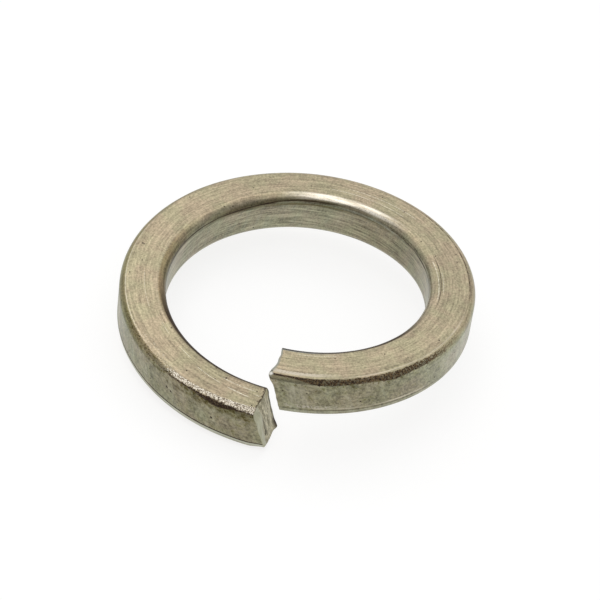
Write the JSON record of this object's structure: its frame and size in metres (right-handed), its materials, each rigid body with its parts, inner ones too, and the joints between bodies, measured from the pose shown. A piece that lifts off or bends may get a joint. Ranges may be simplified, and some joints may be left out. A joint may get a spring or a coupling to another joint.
{
  "type": "split spring lock washer",
  "caption": "Split ring of rounded rectangular steel wire, sprung open into a left-hand helix with slanted cut ends, that keeps tension under a bolt head or nut.",
  "frame": {"origin": "on the bore's axis, level with the lowest point of the low end", "axes": "+Z along the bore's axis, from the low end towards the high end; -Y from the axis through the gap between the ends"},
  "size_m": [0.038, 0.038, 0.0109],
  "materials": {
    "spring_steel": "satin, dull, with fine drawing lines along the wire"
  },
  "bodies": {
    "root": {"lock_washer": "spring_steel"}
  },
  "joints": []
}
